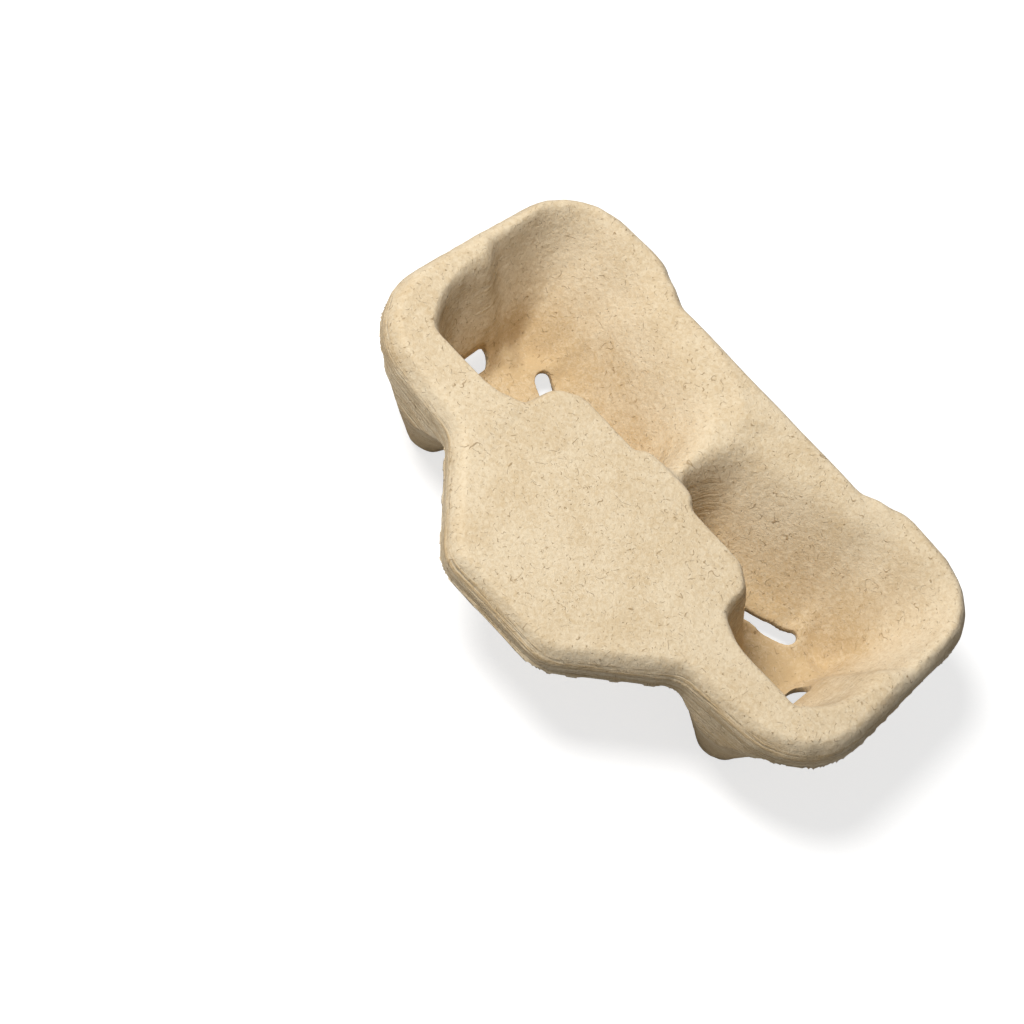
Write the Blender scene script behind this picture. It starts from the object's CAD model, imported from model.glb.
import math

import bmesh
import bpy
from mathutils import Matrix, Vector, noise


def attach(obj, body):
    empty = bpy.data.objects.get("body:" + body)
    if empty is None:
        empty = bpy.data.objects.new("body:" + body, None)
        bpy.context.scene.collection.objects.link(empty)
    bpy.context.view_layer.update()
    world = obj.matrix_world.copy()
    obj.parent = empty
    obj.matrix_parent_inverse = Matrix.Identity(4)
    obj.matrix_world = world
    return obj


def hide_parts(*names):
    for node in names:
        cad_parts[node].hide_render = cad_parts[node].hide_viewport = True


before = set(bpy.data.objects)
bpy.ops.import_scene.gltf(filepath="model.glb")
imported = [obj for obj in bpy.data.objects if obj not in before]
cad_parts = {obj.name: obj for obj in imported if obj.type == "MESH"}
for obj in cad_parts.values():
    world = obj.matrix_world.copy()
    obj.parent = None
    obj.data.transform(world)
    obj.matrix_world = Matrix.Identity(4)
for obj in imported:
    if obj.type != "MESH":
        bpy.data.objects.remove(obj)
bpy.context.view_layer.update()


# ---- the pressed sheet: shape ------------------------------------------------
# The whole carrier is one sheet of wet paper pulp, sucked onto a wire mould and dried in an oven.
# Its skin is slightly uneven, with broad waves from drying and small lumps of pulp, and its edges
# are blunt, because wet pulp cannot hold a sharp one.
grain_of_mesh = 0.00055      # size of the mesh's first facets
most_triangles = 190000      # facets kept once it is smooth
edge_round = 0.0005          # swelling before the facets are made, taken off again after
wave_size, wave_depth = 0.030, 0.00035       # width and height of the drying waves
lump_size, lump_depth = 0.0045, 0.00013      # and of the lumps

sheet_mesh = bpy.data.objects["cup_carrier"].data.copy()
joined = bmesh.new()
joined.from_mesh(sheet_mesh)
bmesh.ops.remove_doubles(joined, verts=joined.verts, dist=0.00001)
joined.to_mesh(sheet_mesh)
joined.free()
carrier = bpy.data.objects.new("pulp_carrier", sheet_mesh)
bpy.context.scene.collection.objects.link(carrier)

plump = carrier.modifiers.new("plump", "DISPLACE")
plump.strength = edge_round
plump.mid_level = 0.0
remesh = carrier.modifiers.new("even_facets", "REMESH")
remesh.mode = "VOXEL"
remesh.voxel_size = grain_of_mesh
remesh.use_smooth_shade = True
soften = carrier.modifiers.new("soften", "SMOOTH")
soften.factor = 0.5
soften.iterations = 12
thin_out = carrier.modifiers.new("thin_out", "DECIMATE")
bpy.context.view_layer.update()
dense = carrier.evaluated_get(bpy.context.evaluated_depsgraph_get())
triangles = sum(len(face.vertices) - 2 for face in dense.data.polygons)
thin_out.ratio = min(1.0, most_triangles / triangles)
bpy.context.view_layer.update()
evaluated = carrier.evaluated_get(bpy.context.evaluated_depsgraph_get())
even_mesh = bpy.data.meshes.new_from_object(evaluated)
carrier.modifiers.clear()
carrier.data = even_mesh


def ripple(place, size, seed):
    """Smooth noise between -1 and 1 at a place, with bumps about the given size."""
    return noise.noise(place / size + Vector((seed, -seed, 2.0 * seed)))


skin = bmesh.new()
skin.from_mesh(even_mesh)
skin.normal_update()
moves = []
for vertex in skin.verts:
    depth = wave_depth * ripple(vertex.co, wave_size, 3.1) - edge_round
    depth += lump_depth * ripple(vertex.co, lump_size, 7.7)
    depth += 0.6 * lump_depth * ripple(vertex.co, lump_size * 0.45, 12.9)
    moves.append(vertex.normal * depth)
for vertex, move in zip(skin.verts, moves):
    vertex.co += move
    vertex.co.z = max(vertex.co.z, 0.0)
skin.to_mesh(even_mesh)
skin.free()
even_mesh.shade_smooth()


# ---- the pressed sheet: finish -----------------------------------------------
# Bare recycled paper pulp, unbleached: pale tan, quite matt, mottled, with darker fibres lying in it.
# The mould leaves fine level lines on the upright skirts and walls, where the sheet was drawn down.
pulp_pale = (0.800, 0.670, 0.475, 1.0)
pulp_tan = (0.600, 0.440, 0.245, 1.0)
fibre_brown = (0.330, 0.210, 0.095, 1.0)

pulp = bpy.data.materials.new("moulded_pulp")
pulp.use_nodes = True
nodes, links = pulp.node_tree.nodes, pulp.node_tree.links
shader = nodes["Principled BSDF"]
shader.inputs["Roughness"].default_value = 0.92
shader.inputs["Specular IOR Level"].default_value = 0.22
shader.inputs["Sheen Weight"].default_value = 0.12
shader.inputs["Sheen Roughness"].default_value = 0.6
place = nodes.new("ShaderNodeTexCoord").outputs["Object"]


def scaled(x, y, z):
    """Object coordinates stretched by these numbers along X, Y and Z."""
    mapping = nodes.new("ShaderNodeMapping")
    mapping.inputs["Scale"].default_value = (x, y, z)
    links.new(place, mapping.inputs["Vector"])
    return mapping.outputs["Vector"]


def cloud(vector, scale, detail=3.0, rough=0.55, twist=0.0):
    """Grey noise around 0.5."""
    texture = nodes.new("ShaderNodeTexNoise")
    texture.inputs["Scale"].default_value = scale
    texture.inputs["Detail"].default_value = detail
    texture.inputs["Roughness"].default_value = rough
    texture.inputs["Distortion"].default_value = twist
    links.new(vector, texture.inputs["Vector"])
    return texture.outputs["Fac"]


def ranged(value, low, high, out_low=0.0, out_high=1.0):
    """The value's range low..high laid smoothly onto another range."""
    step = nodes.new("ShaderNodeMapRange")
    step.interpolation_type = "SMOOTHSTEP"
    ends = {"From Min": low, "From Max": high, "To Min": out_low, "To Max": out_high}
    for name, number in ends.items():
        step.inputs[name].default_value = number
    links.new(value, step.inputs["Value"])
    return step.outputs["Result"]


def maths(operation, a, b=None):
    """One sum on two values or numbers."""
    node = nodes.new("ShaderNodeMath")
    node.operation = operation
    for socket, value in zip(node.inputs, (a, b)):
        if isinstance(value, (int, float)):
            socket.default_value = value
        elif value is not None:
            links.new(value, socket)
    return node.outputs["Value"]


def blended(factor, a, b):
    """Colour a turning into colour b as the factor rises."""
    mix = nodes.new("ShaderNodeMix")
    mix.data_type = "RGBA"
    links.new(factor, mix.inputs["Factor"])
    for socket, value in ((mix.inputs[6], a), (mix.inputs[7], b)):
        if isinstance(value, tuple):
            socket.default_value = value
        else:
            links.new(value, socket)
    return mix.outputs[2]


def fibres(scale, seed, width):
    """Thin curved strokes: one contour of a noise, broken up by another noise."""
    offset = nodes.new("ShaderNodeMapping")
    offset.inputs["Location"].default_value = (seed, 0.3 * seed, -seed)
    links.new(place, offset.inputs["Vector"])
    moved = offset.outputs["Vector"]
    contour = maths("ABSOLUTE", maths("SUBTRACT", cloud(moved, scale, 1.0), 0.5))
    stroke = ranged(contour, 0.0, width, 1.0, 0.0)
    broken = ranged(cloud(moved, scale * 2.3, 1.0), 0.55, 0.66)
    return maths("MULTIPLY", stroke, broken)


def upward(vector):
    """The part of a vector along Z."""
    separate = nodes.new("ShaderNodeSeparateXYZ")
    links.new(vector, separate.inputs["Vector"])
    return separate.outputs["Z"]


facing = nodes.new("ShaderNodeNewGeometry").outputs["Normal"]
upright = ranged(maths("ABSOLUTE", upward(facing)), 0.38, 0.52, 1.0, 0.0)

mottle = cloud(place, 45.0, 4.0, 0.6)
speckle = cloud(place, 620.0, 4.0, 0.75, 0.8)
streaks = cloud(scaled(1, 1, 26), 38.0, 4.0, 0.6, 0.4)
fibre_long = fibres(150.0, 3.7, 0.014)
fibre_short = fibres(330.0, 9.2, 0.022)
fibre_mask = maths("MAXIMUM", fibre_long, fibre_short)
level_lines = maths("MULTIPLY", streaks, upright)

patches = ranged(mottle, 0.32, 0.70, 0.0, 0.36)
tone = maths("ADD", patches, ranged(speckle, 0.30, 0.70, -0.20, 0.45))
deep = ranged(upward(place), 0.008, 0.040, 0.62, 0.0)
tone = maths("ADD", tone, deep)
dark_lines = ranged(streaks, 0.35, 0.68, 0.0, 0.80)
tone = maths("ADD", tone, maths("MULTIPLY", dark_lines, upright))
ground = blended(tone, pulp_pale, pulp_tan)
coloured = blended(maths("MULTIPLY", fibre_mask, 0.75), ground, fibre_brown)
links.new(coloured, shader.inputs["Base Color"])

height = cloud(place, 420.0, 5.0, 0.7)
height = maths("ADD", height, maths("MULTIPLY", speckle, 0.35))
height = maths("ADD", height, maths("MULTIPLY", fibre_mask, 0.25))
height = maths("ADD", height, maths("MULTIPLY", level_lines, 2.6))
bump = nodes.new("ShaderNodeBump")
bump.inputs["Strength"].default_value = 0.8
bump.inputs["Distance"].default_value = 0.0007
links.new(height, bump.inputs["Height"])
links.new(bump.outputs["Normal"], shader.inputs["Normal"])

even_mesh.materials.clear()
even_mesh.materials.append(pulp)
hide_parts("cup_carrier")
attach(carrier, "root")


# ---- table, light and camera -----------------------------------------------------
# A plain white table under soft light: a dim white surround and one large round lamp high on the left.
# The carrier is seen from above its hand plate, turned on the picture.
gap = 0.0002                 # keeps the table's face clear of the feet's
bpy.ops.mesh.primitive_plane_add(size=8.0, location=(0.0, 0.0, -gap))
table = bpy.context.object
table.name = "table_top"
white = bpy.data.materials.new("white_table")
white.use_nodes = True
paint = white.node_tree.nodes["Principled BSDF"]
paint.inputs["Base Color"].default_value = (0.50, 0.50, 0.50, 1.0)
paint.inputs["Roughness"].default_value = 0.9
paint.inputs["Specular IOR Level"].default_value = 0.0
paint.inputs["Emission Color"].default_value = (1.0, 1.0, 1.0, 1.0)
seen = white.node_tree.nodes.new("ShaderNodeLightPath")
lift = white.node_tree.nodes.new("ShaderNodeMath")
lift.operation = "MULTIPLY"
lift.inputs[1].default_value = 0.72
white.node_tree.links.new(seen.outputs["Is Camera Ray"], lift.inputs[0])
white.node_tree.links.new(lift.outputs["Value"], paint.inputs["Emission Strength"])
table.data.materials.append(white)

azimuth, elevation, roll = 19.7, 56.4, 30.0      # degrees
lens, distance = 210.9, 2.037                    # millimetres and metres
aim = Vector((-0.0249, -0.0373, 0.0395))
side, rise = math.radians(azimuth), math.radians(elevation)
back = Vector((math.sin(side) * math.cos(rise), -math.cos(side) * math.cos(rise), math.sin(rise)))
level = Vector((math.cos(side), math.sin(side), 0.0))
over = back.cross(level)
turn = math.radians(roll)
right = math.cos(turn) * level + math.sin(turn) * over
up = back.cross(right)
camera_data = bpy.data.cameras.new("camera")
camera_data.lens = lens
camera_data.sensor_width = 36.0
camera_data.clip_end = 20.0
camera = bpy.data.objects.new("camera", camera_data)
bpy.context.scene.collection.objects.link(camera)
pose = Matrix((right, up, back)).transposed().to_4x4()
pose.translation = aim + distance * back
camera.matrix_world = pose
bpy.context.scene.camera = camera

lamp_data = bpy.data.lights.new("soft_lamp", "AREA")
lamp_data.shape = "DISK"
lamp_data.size = 0.7
lamp_data.energy = 28.5
lamp_data.color = (1.0, 0.985, 0.96)
lamp = bpy.data.objects.new("soft_lamp", lamp_data)
bpy.context.scene.collection.objects.link(lamp)
towards = Vector((-0.40, -0.20, 0.88)).normalized()
lamp_height, lamp_reach = 0.03, 1.6              # the lamp points at this height, from this far
lamp.location = Vector((0.0, 0.0, lamp_height)) + lamp_reach * towards
lamp.rotation_euler = towards.to_track_quat("Z", "Y").to_euler()

world = bpy.data.worlds.new("white_surround")
bpy.context.scene.world = world
world.use_nodes = True
sky = world.node_tree.nodes["Background"]
sky.inputs["Color"].default_value = (1.0, 1.0, 1.0, 1.0)
ray = world.node_tree.nodes.new("ShaderNodeLightPath")
strength = world.node_tree.nodes.new("ShaderNodeMapRange")
strength.inputs["To Min"].default_value = 0.14
strength.inputs["To Max"].default_value = 1.0
world.node_tree.links.new(ray.outputs["Is Camera Ray"], strength.inputs["Value"])
world.node_tree.links.new(strength.outputs["Result"], sky.inputs["Strength"])

bpy.context.scene.view_settings.view_transform = "Standard"
